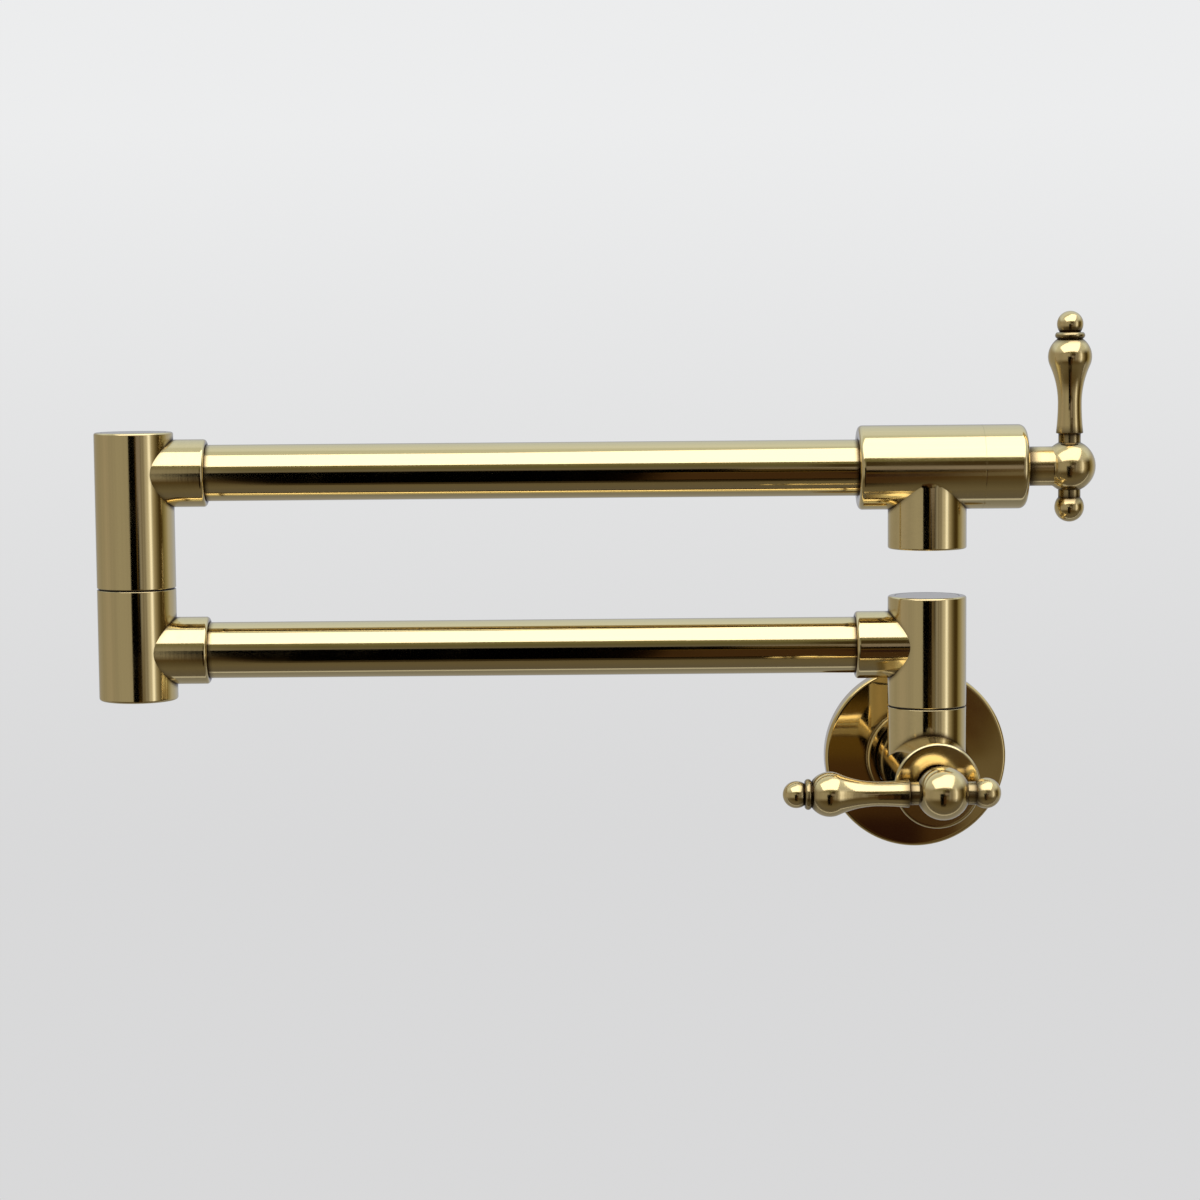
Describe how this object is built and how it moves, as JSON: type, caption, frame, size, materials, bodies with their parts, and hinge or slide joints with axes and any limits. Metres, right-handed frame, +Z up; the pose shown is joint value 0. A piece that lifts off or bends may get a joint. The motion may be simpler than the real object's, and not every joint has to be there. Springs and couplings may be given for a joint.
{
  "type": "wall mounted pot filler",
  "caption": "Wall mounted double-jointed swing arm tap with a round flange, two swivels, a quarter-turn lever valve at the wall and another at the spout.",
  "frame": {"origin": "centre of the flange's back on the wall, which is also the mouth of the inlet thread", "axes": "+Y into the wall, -Y out of it towards the user, +Z up, +X to the user's right; the arms are folded towards -X"},
  "size_m": [0.3558, 0.1048, 0.1977],
  "materials": {
    "satin_brass": "satin brushed gold",
    "polished_brass": "polished gold",
    "antique_brass": "glossy aged gold",
    "raw_brass": "machined",
    "seal_rubber": "matt",
    "ceramic": "lapped",
    "spring_steel": "ground",
    "dark_nylon": "matt",
    "pale_plastic": "moulded"
  },
  "bodies": {
    "wall_body": {"wall_valve_body": "satin_brass", "wall_flange": "polished_brass", "flange_o_ring": "seal_rubber", "wall_seat_washer": "seal_rubber", "wall_cartridge_shell": "raw_brass", "wall_fixed_disc": "ceramic", "wall_bonnet_cap": "satin_brass", "riser_post": "raw_brass", "riser_post_seals": "seal_rubber", "riser_thrust_washer": "dark_nylon", "riser_snap_ring": "spring_steel"},
    "wall_handle": {"wall_handle_hub": "antique_brass", "wall_lever": "antique_brass", "wall_finial": "antique_brass", "wall_spindle": "raw_brass", "wall_spindle_seal": "seal_rubber", "wall_moving_disc": "ceramic"},
    "lower_arm": {"riser_barrel": "satin_brass", "riser_cap": "satin_brass", "lower_tube": "satin_brass", "elbow_lower_barrel": "satin_brass", "elbow_post": "raw_brass", "elbow_post_seals": "seal_rubber", "elbow_thrust_washer": "dark_nylon", "elbow_snap_ring": "spring_steel"},
    "upper_arm": {"elbow_upper_barrel": "satin_brass", "elbow_cap": "satin_brass", "upper_tube": "satin_brass", "spout_body": "satin_brass", "spout_seat_washer": "seal_rubber", "spout_cartridge_shell": "raw_brass", "spout_fixed_disc": "ceramic", "spout_bonnet_cap": "satin_brass", "aerator_housing": "pale_plastic", "aerator_screen": "pale_plastic", "aerator_washer": "seal_rubber"},
    "spout_handle": {"spout_handle_hub": "antique_brass", "spout_lever": "antique_brass", "spout_finial": "antique_brass", "spout_spindle": "raw_brass", "spout_spindle_seal": "seal_rubber", "spout_moving_disc": "ceramic"}
  },
  "joints": [
    {"name": "riser_swivel", "type": "hinge", "parent": "wall_body", "child": "lower_arm", "pos_m": [0, -0.045, 0.046], "axis": [0, 0, 1], "range_deg": [0, 180]},
    {"name": "elbow_swivel", "type": "hinge", "parent": "lower_arm", "child": "upper_arm", "pos_m": [-0.282, -0.045, 0.0682], "axis": [0, 0, -1], "continuous": true},
    {"name": "wall_valve_turn", "type": "hinge", "parent": "wall_body", "child": "wall_handle", "pos_m": [0, -0.0956, 0], "axis": [0, -1, 0], "range_deg": [0, 90]},
    {"name": "spout_valve_turn", "type": "hinge", "parent": "upper_arm", "child": "spout_handle", "pos_m": [0.0506, -0.045, 0.1093], "axis": [1, 0, 0], "range_deg": [0, 90]}
  ]
}
